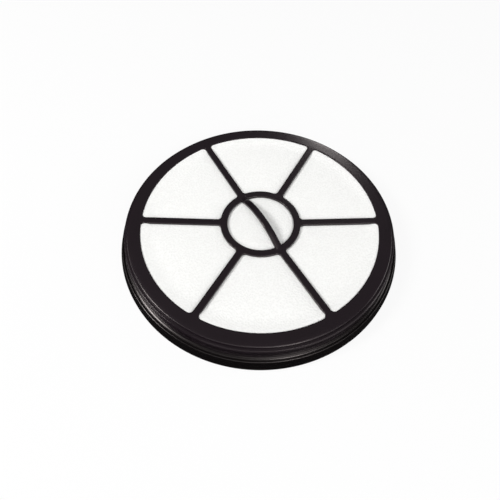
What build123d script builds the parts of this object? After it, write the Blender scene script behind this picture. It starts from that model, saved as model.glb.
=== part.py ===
from build123d import *
import math
import os

os.makedirs("parts", exist_ok=True)

# Filter frame: the flat top plate and the shoulder just under its edge
plate_diameter = 140.0
plate_thickness = 1.5
frame_height = 15.0
edge_break = 0.45
shoulder_step = 1.6
shoulder_drop = 1.5

# Filter frame: the skirt that hangs from the plate, open at the bottom
skirt_wall = 2.4
skirt_root = 0.8

# Filter frame: the spoked grille, which dips towards its hub ring
rim_width = 7.0
spoke_count = 6
spoke_width = 3.6
hub_diameter = 43.0
hub_ring_width = 3.7
hub_dip = 1.8
opening_corner_radius = 2.0

# Filter frame: the bowed finger bar across the hub ring, in line with one pair of spokes
bar_width = 3.6
bar_thickness = 1.6
bar_rise = 5.0
bar_landing = 0.3
bar_spoke = 2
bar_edge_radius = 0.35

# Seal ring: a soft lip seal round the foot of the skirt, keyed into a groove
inner_bead_radius = 0.85
outer_bead_radius = 0.5
bead_sides = 10
bead_setback = 0.3
bead_spacing = 1.7
seal_shelf_height = 6.1
seal_flare = 1.4
seal_land = 2.0
seal_foot = 0.4
groove_depth = 1.0
groove_height = 2.4
groove_lift = 2.0
seal_clearance = 0.1

# Foam pad: a disc of open-cell foam that fills the frame under the grille
foam_recess = 1.0
foam_clearance = 0.3

plate_radius = plate_diameter / 2
rim_inner_radius = plate_radius - rim_width
hub_radius = hub_diameter / 2
hub_inner_radius = hub_radius - hub_ring_width
shoulder_radius = plate_radius + shoulder_step
skirt_inner_radius = shoulder_radius - skirt_wall
groove_radius = shoulder_radius - groove_depth

plate_under = frame_height - plate_thickness
shoulder_height = frame_height - shoulder_drop
hub_top = frame_height - hub_dip
hub_under = hub_top - plate_thickness
groove_top = groove_lift + groove_height

# The bar's top face is an arc whose feet land on the hub ring's top face
bar_foot = hub_inner_radius + bar_landing
bar_radius = (bar_foot**2 + bar_rise**2) / (2 * bar_rise)
bar_centre_height = hub_top + bar_rise - bar_radius
bar_reach = hub_inner_radius + hub_ring_width / 2
bar_angle = math.radians(bar_spoke * 360 / spoke_count)
bar_plane = Plane(
    origin=(0, 0, 0),
    x_dir=(math.cos(bar_angle), math.sin(bar_angle), 0),
    z_dir=(math.sin(bar_angle), -math.cos(bar_angle), 0),
)

# The seal's two beads stand side by side on its shelf, the first cut off where it meets the skirt
seal_inner_radius = shoulder_radius + seal_clearance
inner_bead_place = seal_inner_radius + bead_setback
outer_bead_place = inner_bead_place + bead_spacing
shelf_edge_radius = outer_bead_place + outer_bead_radius
seal_radius = shelf_edge_radius + seal_flare
key_radius = groove_radius + seal_clearance
key_top = groove_top - seal_clearance
key_bottom = groove_lift + seal_clearance

foam_radius = skirt_inner_radius - foam_clearance
foam_top = plate_under - foam_clearance
foam_hub_top = hub_under - foam_clearance

# The bowed finger bar, a strap of even thickness with its two long top edges rounded
with BuildPart() as finger_bar:
    with BuildSketch(bar_plane):
        with Locations((0, bar_centre_height)):
            Circle(bar_radius)
            Circle(bar_radius - bar_thickness, mode=Mode.SUBTRACT)
        with Locations((0, hub_under)):
            Rectangle(
                2 * bar_reach,
                frame_height,
                align=(Align.CENTER, Align.MIN),
                mode=Mode.INTERSECT,
            )
    extrude(amount=bar_width / 2, both=True)
    bar_top_face = finger_bar.faces().filter_by(GeomType.CYLINDER).sort_by(SortBy.AREA)[-1]
    fillet(bar_top_face.edges().filter_by(GeomType.CIRCLE), bar_edge_radius)

# Filter frame: plate, grille, finger bar and skirt are one moulding
with BuildPart() as filter_frame:
    with BuildSketch(Plane.XZ) as frame_section:
        with BuildLine():
            Polyline(
                (hub_inner_radius, hub_top),
                (hub_radius, hub_top),
                (rim_inner_radius, frame_height),
                (plate_radius, frame_height),
                (plate_radius, shoulder_height),
                (shoulder_radius, shoulder_height),
                (shoulder_radius, groove_top),
                (groove_radius, groove_top),
                (groove_radius, groove_lift),
                (shoulder_radius, groove_lift),
                (shoulder_radius, 0),
                (skirt_inner_radius, 0),
                (skirt_inner_radius, plate_under),
                (rim_inner_radius, plate_under),
                (hub_radius, hub_under),
                (hub_inner_radius, hub_under),
                close=True,
            )
        make_face()
        plate_edge = (plate_radius, frame_height)
        shoulder_edge = (shoulder_radius, shoulder_height)
        foot_edge = (skirt_inner_radius, 0)
        for outer_edge in (plate_edge, shoulder_edge, foot_edge):
            chamfer(frame_section.vertices().sort_by_distance(outer_edge)[0], edge_break)
        root_edge = (skirt_inner_radius, plate_under)
        chamfer(frame_section.vertices().sort_by_distance(root_edge)[0], skirt_root)
    revolve(axis=Axis.Z)

    # The openings between the spokes, with rounded corners
    with BuildSketch() as grille_openings:
        Circle(rim_inner_radius)
        Circle(hub_radius, mode=Mode.SUBTRACT)
        with PolarLocations(0, spoke_count):
            Rectangle(
                plate_radius,
                spoke_width,
                align=(Align.MIN, Align.CENTER),
                mode=Mode.SUBTRACT,
            )
        fillet(grille_openings.vertices(), opening_corner_radius)
    extrude(amount=2 * frame_height, mode=Mode.SUBTRACT)
    add(finger_bar.part)

filter_frame.part.label = "filter_frame"
export_step(filter_frame.part, "parts/filter_frame.step")

# Seal ring: a sloping face, an upright land and a key for the groove, with two round beads on its shelf
with BuildPart() as seal_ring:
    with BuildSketch(Plane.XZ) as seal_section:
        with BuildLine():
            Polyline(
                (seal_inner_radius, seal_shelf_height),
                (shelf_edge_radius, seal_shelf_height),
                (seal_radius, seal_land),
                (seal_radius, 0),
                (seal_inner_radius, 0),
                (seal_inner_radius, key_bottom),
                (key_radius, key_bottom),
                (key_radius, key_top),
                (seal_inner_radius, key_top),
                close=True,
            )
        make_face()
        chamfer(seal_section.vertices().sort_by_distance((seal_radius, 0))[0], seal_foot)
        with Locations((inner_bead_place, seal_shelf_height)):
            RegularPolygon(inner_bead_radius, bead_sides)
        with Locations((outer_bead_place, seal_shelf_height)):
            RegularPolygon(outer_bead_radius, bead_sides)
        with Locations((0, seal_shelf_height)):
            Rectangle(
                seal_inner_radius,
                2 * inner_bead_radius,
                align=(Align.MIN, Align.CENTER),
                mode=Mode.SUBTRACT,
            )
    revolve(axis=Axis.Z)

seal_ring.part.label = "seal_ring"
export_step(seal_ring.part, "parts/seal_ring.step")

# Foam pad: its top face lies just under the grille and dips with it
with BuildPart() as foam_pad:
    with BuildSketch(Plane.XZ) as foam_section:
        with BuildLine():
            Polyline(
                (0, foam_recess),
                (foam_radius, foam_recess),
                (foam_radius, foam_top),
                (rim_inner_radius, foam_top),
                (hub_radius, foam_hub_top),
                (0, foam_hub_top),
                close=True,
            )
        make_face()
        chamfer(foam_section.vertices().sort_by_distance((foam_radius, foam_top))[0], skirt_root)
    revolve(axis=Axis.Z)

foam_pad.part.label = "foam_pad"
export_step(foam_pad.part, "parts/foam_pad.step")
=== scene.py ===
import math

import bmesh
import bpy
import numpy as np
from mathutils import Matrix, Vector


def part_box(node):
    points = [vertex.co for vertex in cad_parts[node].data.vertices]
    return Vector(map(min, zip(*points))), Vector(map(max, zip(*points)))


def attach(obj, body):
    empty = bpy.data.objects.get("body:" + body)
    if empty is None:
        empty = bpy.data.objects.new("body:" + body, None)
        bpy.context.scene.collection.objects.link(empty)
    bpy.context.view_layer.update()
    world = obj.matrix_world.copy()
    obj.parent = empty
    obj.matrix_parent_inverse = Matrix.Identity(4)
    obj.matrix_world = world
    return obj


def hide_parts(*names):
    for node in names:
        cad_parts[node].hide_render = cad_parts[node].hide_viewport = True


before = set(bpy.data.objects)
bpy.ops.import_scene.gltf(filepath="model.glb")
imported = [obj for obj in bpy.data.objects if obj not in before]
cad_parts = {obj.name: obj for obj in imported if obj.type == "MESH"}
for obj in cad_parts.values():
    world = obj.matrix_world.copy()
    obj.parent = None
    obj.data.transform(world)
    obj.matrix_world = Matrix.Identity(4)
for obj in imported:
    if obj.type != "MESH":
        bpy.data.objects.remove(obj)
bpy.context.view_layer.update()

# Filter frame: a round black moulding with a spoked grille that dips to a hub ring, a bowed finger bar
# across the hub, a small shoulder under the plate's edge and a skirt that is open at the bottom.
# It is injection moulded in one shot from ABS, so it is one piece with small radii on its outer edges.
MM = 0.001  # sizes are written in millimetres, and the meshes are made in metres
shoulder_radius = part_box("filter_frame")[1].x / MM
shoulder_step = 1.6
shoulder_drop = 1.5
shoulder_chamfer = 0.6
shoulder_edge = 0.2
frame_height = 15.0
plate_thickness = 1.5
plate_edge = 0.8
rim_width = 7.0
spoke_count = 6
spoke_half_width = 1.8
hub_radius = 21.5
hub_ring_width = 3.7
hub_dip = 1.8
opening_corner = 2.0
grille_edge = 0.3
skirt_wall = 2.4
skirt_root = 0.8
skirt_foot = 0.3
groove_depth = 1.0
groove_bottom = 2.0
groove_top = 4.4

plate_radius = shoulder_radius - shoulder_step
plate_under = frame_height - plate_thickness
rim_inner_radius = plate_radius - rim_width
hub_inner_radius = hub_radius - hub_ring_width
hub_top = frame_height - hub_dip
hub_under = hub_top - plate_thickness
shoulder_height = frame_height - shoulder_drop
skirt_inner_radius = shoulder_radius - skirt_wall
groove_radius = shoulder_radius - groove_depth

# Steps along an opening's arc at the rim, a corner, a spoke's side, its arc at the hub, and round an edge
ARC_STEPS = 20
CORNER_STEPS = 8
SIDE_STEPS = 26
HUB_STEPS = 10
ROUND_STEPS = 6

# One bay reaches from one spoke's middle to the next, and is its own mirror image across its middle line
AXIS = (0, 0)
bay_angle = 2 * math.pi / spoke_count
bay_line = np.array([math.cos(bay_angle / 2), math.sin(bay_angle / 2)])
bay_mirror = np.array([
    [math.cos(bay_angle), math.sin(bay_angle)],
    [math.sin(bay_angle), -math.cos(bay_angle)],
])


def radii(loop):
    """Distances of a loop's points from the axis."""
    return np.hypot(loop[:, 0], loop[:, 1])


def dish(radius):
    """Height of the plate's top face: flat rim, a slope along the spokes, flat hub ring."""
    share = np.clip((radius - hub_radius) / (rim_inner_radius - hub_radius), 0, 1)
    return frame_height - hub_dip * (1 - share)


def spaced(start, end, steps):
    """Even steps from start to end, without the end itself."""
    return np.linspace(start, end, steps, endpoint=False)


def ring_points(centre, radius, angles):
    """Points at the given angles on a circle."""
    return np.column_stack((centre[0] + radius * np.cos(angles), centre[1] + radius * np.sin(angles)))


def whole_loop(half):
    """Adds the mirror image of half a bay's loop, across the bay's middle line."""
    far_end = bay_line * np.hypot(*half[-1])
    return np.vstack((half, far_end, (half[1:] @ bay_mirror)[::-1]))


corner_across = spoke_half_width + opening_corner
inner_corner_angle = math.asin(corner_across / (hub_radius + opening_corner))
outer_corner_angle = math.asin(corner_across / (rim_inner_radius - opening_corner))
inner_corner = ((hub_radius + opening_corner) * math.cos(inner_corner_angle), corner_across)
outer_corner = ((rim_inner_radius - opening_corner) * math.cos(outer_corner_angle), corner_across)
hub_arc = spaced(bay_angle / 2, inner_corner_angle, HUB_STEPS)
rim_arc = spaced(outer_corner_angle, bay_angle / 2, ARC_STEPS)
spoke_side = spaced(inner_corner[0], outer_corner[0], SIDE_STEPS)


def opening_loop(offset):
    """The outline of one opening between two spokes, moved outwards into the plastic by offset."""
    corner = opening_corner + offset
    inner_turn = spaced(inner_corner_angle + math.pi, 1.5 * math.pi, CORNER_STEPS)
    outer_turn = spaced(-0.5 * math.pi, outer_corner_angle, CORNER_STEPS)
    half = np.vstack((
        ring_points(AXIS, hub_radius - offset, hub_arc),
        ring_points(inner_corner, corner, inner_turn),
        np.column_stack((spoke_side, np.full(SIDE_STEPS, spoke_half_width - offset))),
        ring_points(outer_corner, corner, outer_turn),
        ring_points(AXIS, rim_inner_radius + offset, rim_arc),
    ))
    return whole_loop(half)


def bay_loop(hole_radius, outer_radius):
    """The outline of one bay: two spokes' middle lines, an arc at the hub and an arc at the rim."""
    fold = CORNER_STEPS // 2
    along = np.concatenate((
        spaced(hole_radius, inner_corner[0], fold),
        spoke_side,
        spaced(outer_corner[0], outer_radius, fold),
    ))
    half = np.vstack((
        ring_points(AXIS, hole_radius, hub_arc),
        ring_points(AXIS, hole_radius, spaced(inner_corner_angle, 0, fold)),
        np.column_stack((along, np.zeros(len(along)))),
        ring_points(AXIS, outer_radius, spaced(0, outer_corner_angle, fold)),
        ring_points(AXIS, outer_radius, rim_arc),
    ))
    return whole_loop(half)


def placed(loop, height):
    """A flat loop lifted to a height, which is one number or one for each point."""
    return np.column_stack((loop, np.broadcast_to(height, len(loop))))


def plate_row(loop, drop):
    """A flat loop laid on the plate's dished top face, or the given drop below it."""
    return placed(loop, dish(radii(loop)) - drop)


def rounding(centre, radius, start, end):
    """Points of a rounded edge in a section, from the angle start to the angle end, in degrees."""
    return ring_points(centre, radius, np.radians(np.linspace(start, end, ROUND_STEPS + 1)))


def turned(section, angles):
    """Rows of a section (radius, height) swept round the axis through the given angles."""
    return [placed(ring_points(AXIS, radius, angles), height) for radius, height in section]


CIRCLE_TOLERANCE = 0.003
ANGLE_DIGITS = 9


def arc_angles(loop, radius):
    """Angles of the loop's points that lie on the circle of that radius, in order round the axis."""
    on_circle = loop[np.abs(radii(loop) - radius) < CIRCLE_TOLERANCE]
    return np.unique(np.round(np.arctan2(on_circle[:, 1], on_circle[:, 0]), ANGLE_DIGITS))


class Shell:
    """Rows of points in millimetres that are joined into faces and gathered into one mesh."""

    def __init__(self):
        self.points = []
        self.faces = []

    def add_rows(self, rows, closed):
        """Joins each row to the next with four-sided faces. A closed row's end meets its start."""
        width = len(rows[0])
        first = len(self.points)
        for row in rows:
            self.points.extend(row.tolist())
        for i in range(len(rows) - 1):
            for j in range(width if closed else width - 1):
                a = first + i * width + j
                b = first + i * width + (j + 1) % width
                self.faces.append((a, b, b + width, a + width))

    def add_fan(self, row, tip):
        """Closes a row with three-sided faces that meet at the tip."""
        first = len(self.points)
        self.points.extend(row.tolist())
        self.points.append(list(tip))
        for j in range(len(row)):
            self.faces.append((first + j, first + (j + 1) % len(row), first + len(row)))

    def mesh(self, name):
        """The gathered faces as a mesh in metres."""
        made = bpy.data.meshes.new(name)
        made.from_pydata([Vector(p) * MM for p in self.points], [], self.faces)
        return made


# One bay of the frame: an opening with rounded edges, and the plate round it as far as its spokes' middles
PLATE_STEPS = (1.0, 0.7, 0.4, 0.12, 0.0)
top_edge_radius = plate_radius - plate_edge
under_edge_radius = skirt_inner_radius - skirt_root
hub_hole_edge = hub_inner_radius + grille_edge
top_bay = bay_loop(hub_hole_edge, top_edge_radius)
under_bay = bay_loop(hub_hole_edge, under_edge_radius)
opening_edge = opening_loop(grille_edge)
frame_bay = Shell()
bay_rows = [plate_row(opening_edge + step * (top_bay - opening_edge), 0) for step in PLATE_STEPS]
for turn in np.linspace(0, math.pi / 2, ROUND_STEPS + 1)[1:]:
    drop = grille_edge * (1 - math.cos(turn))
    bay_rows.append(plate_row(opening_loop(grille_edge * (1 - math.sin(turn))), drop))
for turn in np.linspace(math.pi / 2, 0, ROUND_STEPS + 1)[:-1]:
    drop = plate_thickness - grille_edge * (1 - math.cos(turn))
    bay_rows.append(plate_row(opening_loop(grille_edge * (1 - math.sin(turn))), drop))
for step in reversed(PLATE_STEPS):
    bay_rows.append(plate_row(opening_edge + step * (under_bay - opening_edge), plate_thickness))
frame_bay.add_rows(bay_rows, closed=True)

# The same bay's stretch of the skirt: plate edge, shoulder with a chamfer whose two corners are rounded,
# wall with the seal's groove, foot, and the root under the plate
chamfer_start = shoulder_chamfer + shoulder_edge * math.tan(math.pi / 8)
skirt_section = np.vstack((
    rounding((top_edge_radius, frame_height - plate_edge), plate_edge, 90, 0),
    [(plate_radius, shoulder_height)],
    rounding((shoulder_radius - chamfer_start, shoulder_height - shoulder_edge), shoulder_edge, 90, 45),
    rounding((shoulder_radius - shoulder_edge, shoulder_height - chamfer_start), shoulder_edge, 45, 0),
    [(shoulder_radius, groove_top), (groove_radius, groove_top)],
    [(groove_radius, groove_bottom), (shoulder_radius, groove_bottom)],
    rounding((shoulder_radius - skirt_foot, skirt_foot), skirt_foot, 0, -90),
    rounding((skirt_inner_radius + skirt_foot, skirt_foot), skirt_foot, 270, 180),
    rounding((under_edge_radius, plate_under - skirt_root), skirt_root, 0, 90),
))
frame_bay.add_rows(turned(skirt_section, arc_angles(top_bay, top_edge_radius)), closed=False)

# The same bay's stretch of the hub ring's inner wall
hub_section = np.vstack((
    rounding((hub_hole_edge, hub_top - grille_edge), grille_edge, 90, 180),
    rounding((hub_hole_edge, hub_under + grille_edge), grille_edge, 180, 270),
))
frame_bay.add_rows(turned(hub_section, arc_angles(top_bay, hub_hole_edge)), closed=False)


def add_node(tree, kind, settings=(), links=()):
    """Adds a node, sets its properties and inputs, and links other nodes' outputs to its inputs."""
    node = tree.nodes.new(kind)
    for name, value in dict(settings).items():
        if isinstance(name, str) and hasattr(node, name):
            setattr(node, name, value)
        else:
            node.inputs[name].default_value = value
    for name, output in dict(links).items():
        tree.links.new(output, node.inputs[name])
    return node


# The bays' node tree: turns one bay round the axis, once for each spoke, and closes the seams between them
bays_tree = bpy.data.node_groups.new("bays_round_the_axis", "GeometryNodeTree")
bays_face = bays_tree.interface
bays_face.new_socket("Geometry", in_out="INPUT", socket_type="NodeSocketGeometry")
count_socket = bays_face.new_socket("Bay count", in_out="INPUT", socket_type="NodeSocketInt")
seam_socket = bays_face.new_socket("Seam distance", in_out="INPUT", socket_type="NodeSocketFloat")
finish_socket = bays_face.new_socket("Finish", in_out="INPUT", socket_type="NodeSocketMaterial")
bays_face.new_socket("Geometry", in_out="OUTPUT", socket_type="NodeSocketGeometry")
bay_input = add_node(bays_tree, "NodeGroupInput")
bay_points = add_node(bays_tree, "GeometryNodeMeshLine", {"Offset": (0, 0, 0)}, {
    "Count": bay_input.outputs["Bay count"],
})
bay_index = add_node(bays_tree, "GeometryNodeInputIndex")
bay_step = add_node(bays_tree, "ShaderNodeMath", {"operation": "DIVIDE", 0: 2 * math.pi}, {
    1: bay_input.outputs["Bay count"],
})
bay_turn = add_node(bays_tree, "ShaderNodeMath", {"operation": "MULTIPLY"}, {
    0: bay_index.outputs["Index"],
    1: bay_step.outputs[0],
})
bay_rotation = add_node(bays_tree, "ShaderNodeCombineXYZ", links={"Z": bay_turn.outputs[0]})
bay_copies = add_node(bays_tree, "GeometryNodeInstanceOnPoints", links={
    "Points": bay_points.outputs["Mesh"],
    "Instance": bay_input.outputs["Geometry"],
    "Rotation": bay_rotation.outputs["Vector"],
})
bay_meshes = add_node(bays_tree, "GeometryNodeRealizeInstances", links={
    "Geometry": bay_copies.outputs["Instances"],
})
bay_seams = add_node(bays_tree, "GeometryNodeMergeByDistance", links={
    "Geometry": bay_meshes.outputs["Geometry"],
    "Distance": bay_input.outputs["Seam distance"],
})
bay_finish = add_node(bays_tree, "GeometryNodeSetMaterial", links={
    "Geometry": bay_seams.outputs["Geometry"],
    "Material": bay_input.outputs["Finish"],
})
add_node(bays_tree, "NodeGroupOutput", links={"Geometry": bay_finish.outputs["Geometry"]})

SEAM_DISTANCE = 0.005 * MM
MERGE_DISTANCE = 0.001 * MM


def linked_object(name, data):
    """A new object in the scene that holds the given mesh, lamp or camera."""
    made = bpy.data.objects.new(name, data)
    bpy.context.scene.collection.objects.link(made)
    return made


def apply_modifiers(piece):
    """Gives the piece a plain mesh with its modifiers applied, and removes them."""
    bpy.context.view_layer.update()
    graph = bpy.context.evaluated_depsgraph_get()
    made = bpy.data.meshes.new_from_object(piece.evaluated_get(graph))
    piece.modifiers.clear()
    piece.data = made


def round_bays(name, bay, finish):
    """A piece made of one bay's shell, repeated round the axis."""
    piece = linked_object(name, bay.mesh(name))
    modifier = piece.modifiers.new("bays", "NODES")
    modifier.node_group = bays_tree
    modifier[count_socket.identifier] = spoke_count
    modifier[seam_socket.identifier] = SEAM_DISTANCE
    modifier[finish_socket.identifier] = finish
    apply_modifiers(piece)
    return piece


def smooth_closed(mesh, sharp_degrees):
    """Turns all faces outwards and shades them smooth, apart from edges sharper than the given angle."""
    work = bmesh.new()
    work.from_mesh(mesh)
    bmesh.ops.remove_doubles(work, verts=work.verts, dist=MERGE_DISTANCE)
    bmesh.ops.recalc_face_normals(work, faces=work.faces)
    work.to_mesh(mesh)
    work.free()
    mesh.shade_smooth()
    mesh.set_sharp_from_angle(angle=math.radians(sharp_degrees))


def linear(hex_colour):
    """An sRGB hex colour as linear RGBA."""
    parts = [int(hex_colour[i:i + 2], 16) / 255 for i in (1, 3, 5)]
    return [c / 12.92 if c <= 0.04045 else ((c + 0.055) / 1.055) ** 2.4 for c in parts] + [1.0]


def new_material(name):
    """An empty node material, and the tree that holds its nodes."""
    material = bpy.data.materials.new(name)
    material.use_nodes = True
    material.node_tree.nodes.clear()
    return material, material.node_tree


def pattern_scale(size_mm):
    """Texture scale on Object coordinates, in metres, for a pattern of that size."""
    return 1 / (size_mm * MM)


# Satin black moulded ABS: an even, slightly warm black with a soft gloss that varies a little, and a fine
# spark-eroded grain that shows where a lamp glances off it. The grain is drawn coarser than the real one,
# which is too fine to show.
abs_grain = 0.45
abs_cloud = 14
abs_plastic, tree = new_material("moulded_abs_black")
place = add_node(tree, "ShaderNodeTexCoord").outputs["Object"]
grain = add_node(tree, "ShaderNodeTexNoise", {"Scale": pattern_scale(abs_grain), "Detail": 3.0}, {
    "Vector": place,
})
cloud = add_node(tree, "ShaderNodeTexNoise", {"Scale": pattern_scale(abs_cloud), "Detail": 2.0}, {
    "Vector": place,
})
shade = add_node(tree, "ShaderNodeMixRGB", {"Color1": linear("#161015"), "Color2": linear("#1b1319")}, {
    "Fac": cloud.outputs["Fac"],
})
gloss = add_node(tree, "ShaderNodeMapRange", {"To Min": 0.22, "To Max": 0.27}, {
    "Value": cloud.outputs["Fac"],
})
bump = add_node(tree, "ShaderNodeBump", {"Strength": 0.15, "Distance": 0.02 * MM}, {
    "Height": grain.outputs["Fac"],
})
surface = add_node(tree, "ShaderNodeBsdfPrincipled", {"IOR": 1.5, "Specular Tint": linear("#fff4f2")}, {
    "Base Color": shade.outputs["Color"],
    "Roughness": gloss.outputs["Result"],
    "Normal": bump.outputs["Normal"],
})
add_node(tree, "ShaderNodeOutputMaterial", links={"Surface": surface.outputs["BSDF"]})

filter_body = round_bays("filter_body", frame_bay, abs_plastic)

# The finger bar: a bowed strap that springs from the hub ring in line with one pair of spokes. Each foot
# has a root radius, and its end lies inside the ring, because bar and plate are one moulding.
bar_half_width = 1.8
bar_thickness = 1.6
bar_rise = 5.0
bar_landing = 0.3
bar_overlap = 1.75
bar_spoke = 2
bar_top_edge = 0.45
bar_under_edge = 0.2
bar_root = 1.4
bar_sink = 0.02
bar_end_lift = 0.05
BAR_STEPS = 96
SHARP_DEGREES = 40
bar_foot = hub_inner_radius + bar_landing
bar_angle = bar_spoke * bay_angle
bar_radius = (bar_foot**2 + bar_rise**2) / (2 * bar_rise)
bar_centre_height = hub_top + bar_rise - bar_radius
bar_half_turn = math.asin((hub_inner_radius + bar_overlap) / bar_radius)
bar_section = np.vstack((
    rounding((bar_half_width - bar_top_edge, -bar_top_edge), bar_top_edge, 90, 0),
    rounding((bar_half_width - bar_under_edge, bar_under_edge - bar_thickness), bar_under_edge, 0, -90),
    rounding((bar_under_edge - bar_half_width, bar_under_edge - bar_thickness), bar_under_edge, 270, 180),
    rounding((bar_top_edge - bar_half_width, -bar_top_edge), bar_top_edge, 180, 90),
))
bar_along = np.array([math.cos(bar_angle), math.sin(bar_angle)])
bar_across = np.array([-math.sin(bar_angle), math.cos(bar_angle)])
bar_reach = bar_radius + bar_section[:, 1]

# The bar's bow blends smoothly into its level ends, which lie just inside the hub ring's two faces
bar_end_level = np.maximum(hub_top - bar_sink + bar_section[:, 1], hub_under + bar_end_lift)
bar_rows = []
for turn in np.linspace(-bar_half_turn, bar_half_turn, BAR_STEPS + 1):
    flat = np.outer(bar_reach * math.sin(turn), bar_along) + np.outer(bar_section[:, 0], bar_across)
    bow = bar_centre_height + bar_reach * math.cos(turn)
    near_root = np.maximum(bar_root - np.abs(bow - bar_end_level), 0)
    level = np.maximum(bow, bar_end_level) + near_root**2 / (4 * bar_root)
    bar_rows.append(np.column_stack((flat, level)))
bar_shell = Shell()
bar_shell.add_rows(bar_rows, closed=True)
for row in (bar_rows[0], bar_rows[-1]):
    bar_shell.add_fan(row, row.mean(axis=0))
finger_bar = linked_object("finger_bar", bar_shell.mesh("finger_bar"))
smooth_closed(finger_bar.data, SHARP_DEGREES)
finger_bar.data.materials.append(abs_plastic)
smooth_closed(filter_body.data, SHARP_DEGREES)
moulded = filter_body.modifiers.new("moulded_in_one", "BOOLEAN")
moulded.operation = "UNION"
moulded.solver = "EXACT"
moulded.object = finger_bar
apply_modifiers(filter_body)
smooth_closed(filter_body.data, SHARP_DEGREES)
bpy.data.objects.remove(finger_bar)
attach(filter_body, "root")
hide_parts("filter_frame")

# Seal ring: a soft black lip seal stretched round the foot of the skirt, where a key holds it in a groove.
# It is compression moulded in rubber, with two beads on its shelf, a wide one against the skirt and a
# small round one at the shelf's edge, and a lip that flares outwards.
seal_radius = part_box("seal_ring")[1].x / MM
seal_clearance = 0.1
bead_top = 6.95
bead_crown = 3.0
bead_crown_start = 80  # degrees up from level, as is the next
bead_crown_end = 60
bead_edge = 0.3
outer_bead_radius = 0.5
outer_bead_step = 2.0
shelf_height = 6.1
seal_land = 2.0
land_edge = 0.25
seal_edge = 0.4
SEAL_STEPS = 288
BEAD_STEPS = 20
seal_inner_radius = shoulder_radius + seal_clearance
key_radius = groove_radius + seal_clearance
key_top = groove_top - seal_clearance
key_bottom = groove_bottom + seal_clearance
outer_bead_place = (seal_inner_radius + outer_bead_step, shelf_height)
outer_bead_turn = np.linspace(math.pi, 0, BEAD_STEPS + 1)
crown_ends = ring_points(AXIS, 1, np.radians((bead_crown_start, bead_crown_end)))
crown_centre = np.array([seal_inner_radius, bead_top]) - bead_crown * crown_ends[0]
bead_edge_centre = crown_centre + (bead_crown - bead_edge) * crown_ends[1]
seal_section = np.vstack((
    rounding(crown_centre, bead_crown, bead_crown_start, bead_crown_end),
    rounding(bead_edge_centre, bead_edge, bead_crown_end, 0),
    [(bead_edge_centre[0] + bead_edge, shelf_height)],
    ring_points(outer_bead_place, outer_bead_radius, outer_bead_turn),
    [(seal_radius, seal_land + land_edge), (seal_radius, seal_land - land_edge)],
    rounding((seal_radius - seal_edge, seal_edge), seal_edge, 0, -90),
    [(seal_inner_radius, 0), (seal_inner_radius, key_bottom), (key_radius, key_bottom)],
    [(key_radius, key_top), (seal_inner_radius, key_top)],
))
closed_section = np.vstack((seal_section, seal_section[:1]))
seal_shell = Shell()
seal_shell.add_rows(turned(closed_section, spaced(0, 2 * math.pi, SEAL_STEPS)), closed=True)

# Black moulded rubber: a deeper black than the frame with the same soft gloss, and a fine grain from the
# mould, drawn coarser than the real one, which is too fine to show
rubber_grain = 0.5
rubber, tree = new_material("moulded_rubber_black")
place = add_node(tree, "ShaderNodeTexCoord").outputs["Object"]
grain = add_node(tree, "ShaderNodeTexNoise", {"Scale": pattern_scale(rubber_grain), "Detail": 3.0}, {
    "Vector": place,
})
bump = add_node(tree, "ShaderNodeBump", {"Strength": 0.2, "Distance": 0.02 * MM}, {
    "Height": grain.outputs["Fac"],
})
surface = add_node(tree, "ShaderNodeBsdfPrincipled", {
    "Base Color": linear("#0a0708"),
    "Roughness": 0.25,
    "IOR": 1.5,
    "Specular Tint": linear("#fff4f2"),
}, {"Normal": bump.outputs["Normal"]})
add_node(tree, "ShaderNodeOutputMaterial", links={"Surface": surface.outputs["BSDF"]})

lip_seal = linked_object("lip_seal", seal_shell.mesh("lip_seal"))
smooth_closed(lip_seal.data, SHARP_DEGREES)
lip_seal.data.materials.append(rubber)
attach(lip_seal, "root")
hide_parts("seal_ring")

# Foam pad: a disc of white open-cell polyurethane foam, cut a little oversize and pushed in from below.
# It is pressed against the grille, so it swells slightly between the spokes and most along the rim.
foam_low, foam_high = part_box("foam_pad")
foam_radius = foam_high.x / MM
foam_bottom = foam_low.z / MM
foam_gap = 0.3
foam_wall_gap = 0.02
wall_shown = 1.4
rim_wall_shown = 0.5
rim_swell_start = 57.0
foam_crown = 0.5
foam_tuck = 0.35
foam_cut_edge = 0.5
FOAM_SHARP_DEGREES = 50

# Shares of the way in from an opening's edge to its middle, under the plate, and from the hub ring to the
# axis, and the radii of the rows on the pad's flat bottom
INSET_STEPS = (0.985, 0.95, 0.9, 0.82, 0.72, 0.6, 0.48, 0.36, 0.24, 0.12)
TUCK_STEPS = (1.0, 0.5, 0.0)
HUB_SHARES = np.array([1.0, 0.95, 0.85, 0.7, 0.5, 0.3, 0.0])
BOTTOM_RADII = (64.0, 56.0, 48.0, 40.0, 32.0, 24.0, 16.0, 8.0)


def foam_row(loop, crown):
    """A row of foam in the open, as far below the plate's top face as the photo shows the walls."""
    radius = radii(loop)
    share = np.clip((radius - rim_swell_start) / (rim_inner_radius - rim_swell_start), 0, 1)
    shown = wall_shown - (wall_shown - rim_wall_shown) * share**2 * (3 - 2 * share)
    return placed(loop, dish(radius) - shown + crown)


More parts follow.
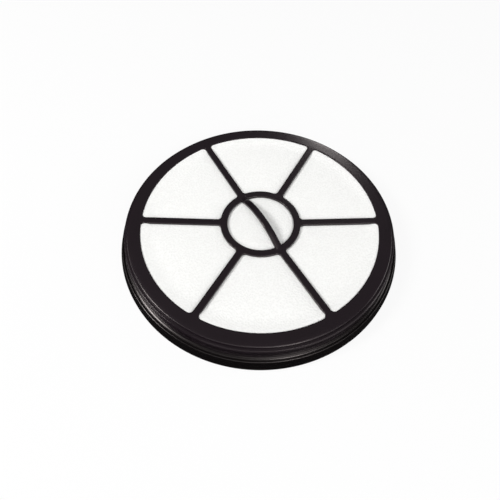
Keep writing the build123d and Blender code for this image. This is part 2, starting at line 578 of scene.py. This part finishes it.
# One bay of the pad's top: tucked under the plate and the spokes, and crowned in the opening
foam_top_radius = foam_radius - skirt_root
hub_tuck = hub_inner_radius + foam_tuck
foam_bay_loop = bay_loop(hub_tuck, foam_top_radius)
tuck_loop = opening_loop(foam_tuck)
open_loop = opening_loop(-foam_wall_gap)
bay_middle = bay_line * (hub_radius + rim_inner_radius) / 2
foam_rows = []
for step in TUCK_STEPS:
    foam_rows.append(plate_row(tuck_loop + step * (foam_bay_loop - tuck_loop), plate_thickness + foam_gap))
foam_rows.append(foam_row(open_loop, 0))
for step in INSET_STEPS:
    foam_rows.append(foam_row(bay_middle + step * (open_loop - bay_middle), foam_crown * (1 - step**2)))
foam_bay = Shell()
foam_bay.add_rows(foam_rows, closed=True)
foam_bay.add_fan(foam_rows[-1], foam_row(bay_middle[None, :], foam_crown)[0])

# The same bay's stretch of the pad's side and bottom, and of its crowned top inside the hub ring
foam_side = np.vstack((
    [(foam_top_radius, plate_under - foam_gap), (foam_radius, plate_under - foam_gap - skirt_root)],
    rounding((foam_radius - foam_cut_edge, foam_bottom + foam_cut_edge), foam_cut_edge, 0, -90),
    [(radius, foam_bottom) for radius in BOTTOM_RADII],
    [(0, foam_bottom)],
))
foam_bay.add_rows(turned(foam_side, arc_angles(foam_bay_loop, foam_top_radius)), closed=False)
hub_foam_radius = HUB_SHARES * (hub_inner_radius - foam_wall_gap)
hub_foam_height = hub_top - wall_shown + foam_crown * (1 - HUB_SHARES**2)
hub_foam = np.vstack((
    [(hub_tuck, hub_under - foam_gap)],
    np.column_stack((hub_foam_radius, hub_foam_height)),
))
foam_bay.add_rows(turned(hub_foam, arc_angles(foam_bay_loop, hub_tuck)), closed=False)

# White open-cell polyurethane foam: matt, with a fine web of open cells about 0.9 mm across. The cells'
# hollows, where the bump sinks them, are painted a touch darker as painted shade.
foam_cell = 0.9
foam, tree = new_material("open_cell_polyurethane_foam")
place = add_node(tree, "ShaderNodeTexCoord").outputs["Object"]
cells = add_node(tree, "ShaderNodeTexVoronoi", {
    "Scale": pattern_scale(foam_cell),
    "feature": "SMOOTH_F1",
}, {"Vector": place})
pores = add_node(tree, "ShaderNodeMapRange", {"From Min": 0.15, "From Max": 0.6}, {
    "Value": cells.outputs["Distance"],
})
# Painted shade: the colour goes a little darker in the cells' hollows, following the bump's pattern
pore_shade = add_node(tree, "ShaderNodeMixRGB", {"Color1": linear("#f8f8f6"), "Color2": linear("#fefefc")}, {
    "Fac": pores.outputs["Result"],
})
bump = add_node(tree, "ShaderNodeBump", {"Strength": 0.5, "Distance": 0.15 * MM}, {
    "Height": pores.outputs["Result"],
})
surface = add_node(tree, "ShaderNodeBsdfPrincipled", {"Roughness": 1.0, "Specular IOR Level": 0.1}, {
    "Base Color": pore_shade.outputs["Color"],
    "Normal": bump.outputs["Normal"],
})
add_node(tree, "ShaderNodeOutputMaterial", links={"Surface": surface.outputs["BSDF"]})

foam_disc = round_bays("foam_disc", foam_bay, foam)
smooth_closed(foam_disc.data, FOAM_SHARP_DEGREES)
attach(foam_disc, "root")
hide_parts("foam_pad")

# Studio table: a plain white top under the filter. The camera sees it almost evenly white, with a faint
# shadow, and the black gloss shows it dim, as the real skirt mirrors no bright table.
floor_half_side = 3.0  # metres
floor_drop = 0.2 * MM
floor_glow_share = 0.88
floor_mirrored_glow = 0.02
floor_mesh = bpy.data.meshes.new("floor")
floor_signs = ((-1, -1), (1, -1), (1, 1), (-1, 1))
floor_corners = [(x * floor_half_side, y * floor_half_side, -floor_drop) for x, y in floor_signs]
floor_mesh.from_pydata(floor_corners, [], [(0, 1, 2, 3)])
floor = linked_object("floor", floor_mesh)
white_top, tree = new_material("white_table_top")
paint = add_node(tree, "ShaderNodeBsdfDiffuse", {"Color": linear("#f4f4f4")})
glow = add_node(tree, "ShaderNodeEmission", {"Strength": 1.0})
dusk = add_node(tree, "ShaderNodeEmission", {"Strength": floor_mirrored_glow})
rays = add_node(tree, "ShaderNodeLightPath")
seen = add_node(tree, "ShaderNodeMath", {"operation": "MAXIMUM"}, {
    0: rays.outputs["Is Camera Ray"],
    1: rays.outputs["Is Transmission Ray"],
})
glow_share = add_node(tree, "ShaderNodeMath", {"operation": "MULTIPLY", 1: floor_glow_share}, {
    0: seen.outputs[0],
})
direct = add_node(tree, "ShaderNodeMixShader", links={
    "Fac": glow_share.outputs[0],
    1: paint.outputs["BSDF"],
    2: glow.outputs["Emission"],
})
mirrored = add_node(tree, "ShaderNodeMixShader", links={
    "Fac": rays.outputs["Is Glossy Ray"],
    1: direct.outputs["Shader"],
    2: dusk.outputs["Emission"],
})
add_node(tree, "ShaderNodeOutputMaterial", links={"Surface": mirrored.outputs["Shader"]})
floor_mesh.materials.append(white_top)

# Studio room: white behind the filter for the camera. For the light it is dark near the horizon, grows
# paler with height, and is even from well up to straight overhead.
room_dark_below = math.radians(12)
room_even_above = math.radians(48)
room_level = 0.168
world = bpy.data.worlds.new("studio_room")
world.use_nodes = True
tree = world.node_tree
tree.nodes.clear()
direction = add_node(tree, "ShaderNodeTexCoord").outputs["Generated"]
height = add_node(tree, "ShaderNodeSeparateXYZ", links={"Vector": direction}).outputs["Z"]
room = add_node(tree, "ShaderNodeMapRange", {
    "From Min": math.sin(room_dark_below),
    "From Max": math.sin(room_even_above),
    "To Min": 0.0,
    "To Max": room_level,
}, {"Value": height})
rays = add_node(tree, "ShaderNodeLightPath")
strength = add_node(tree, "ShaderNodeMath", {"operation": "MAXIMUM"}, {
    0: room.outputs["Result"],
    1: rays.outputs["Is Camera Ray"],
})
backdrop = add_node(tree, "ShaderNodeBackground", {"Color": linear("#ffffff")}, {
    "Strength": strength.outputs[0],
})
add_node(tree, "ShaderNodeOutputWorld", links={"Surface": backdrop.outputs["Background"]})
bpy.context.scene.world = world

# Studio lamps: softboxes above, and low lit boards at the sides that the skirt and the seal mirror.
# Each has its azimuth, anticlockwise from the camera's right, and elevation in degrees, then its distance,
# width and height in metres, and its watts.
SOFTBOXES = (
    ("key_softbox", 192, 43, 1.0, 0.24, 0.28, 5.0),
    ("high_softbox", 168, 58, 1.0, 0.12, 0.12, 0.5),
    ("fill_softbox", 296, 42, 1.0, 0.22, 0.22, 1.8),
    ("top_softbox", 310, 74, 1.0, 0.4, 0.4, 0.9),
    ("front_softbox", 284, 36, 1.2, 2.2, 0.5, 5.6),
    ("left_board", 184, 10, 1.2, 1.0, 0.4, 2.3),
    ("right_board", 8, 11, 1.2, 1.0, 0.45, 3.0),
    ("right_front_board", 319, 10, 1.2, 1.0, 0.4, 0.8),
    ("right_strip", 10, 26, 1.0, 0.3, 0.25, 0.6),
    ("back_strip", 77, 36.3, 1.0, 0.11, 0.18, 0.5),
)
camera_turn = math.radians(-4.3)
for name, azimuth, elevation, distance, width, height, watts in SOFTBOXES:
    lamp = bpy.data.lights.new(name, "AREA")
    lamp.shape = "RECTANGLE"
    lamp.size = width
    lamp.size_y = height
    lamp.energy = watts
    around = math.radians(azimuth) + camera_turn
    above = math.radians(elevation)
    way = Vector((math.cos(above) * math.cos(around), math.cos(above) * math.sin(around), math.sin(above)))
    softbox = linked_object(name, lamp)
    softbox.location = way * distance
    softbox.rotation_euler = way.to_track_quat("Z", "Y").to_euler()

# Camera: close above the filter, turned and rolled as the photo was taken, for a 500 by 500 pixel image.
# It stands the given distance from its aim, a point at the height of the plate's top face.
image_side = 500
focal_pixels = 397.33
principal_across = 265.8
camera_elevation = math.radians(57.8)
camera_roll = math.radians(3.62)
camera_distance = 0.20192  # metres
aim_across = 3.72 * MM
aim_along = -18.76 * MM
turn = Matrix.Rotation(camera_turn, 3, "Z")
back = Vector((0, -math.cos(camera_elevation), math.sin(camera_elevation)))
right = Vector((1, 0, 0))
up = back.cross(right)
rolled_right = math.cos(camera_roll) * right + math.sin(camera_roll) * up
rolled_up = math.cos(camera_roll) * up - math.sin(camera_roll) * right
spot = Vector((aim_across, aim_along, 0)) + camera_distance * back
lens = bpy.data.cameras.new("camera")
lens.sensor_width = 36.0
lens.lens = lens.sensor_width * focal_pixels / image_side
lens.shift_x = (image_side / 2 - principal_across) / image_side
lens.clip_start = 0.005
camera = linked_object("camera", lens)
axes = Matrix((turn @ rolled_right, turn @ rolled_up, turn @ back)).transposed().to_4x4()
camera.matrix_world = Matrix.Translation(turn @ spot + Vector((0, 0, frame_height * MM))) @ axes
bpy.context.scene.camera = camera
bpy.context.scene.view_settings.view_transform = "Standard"
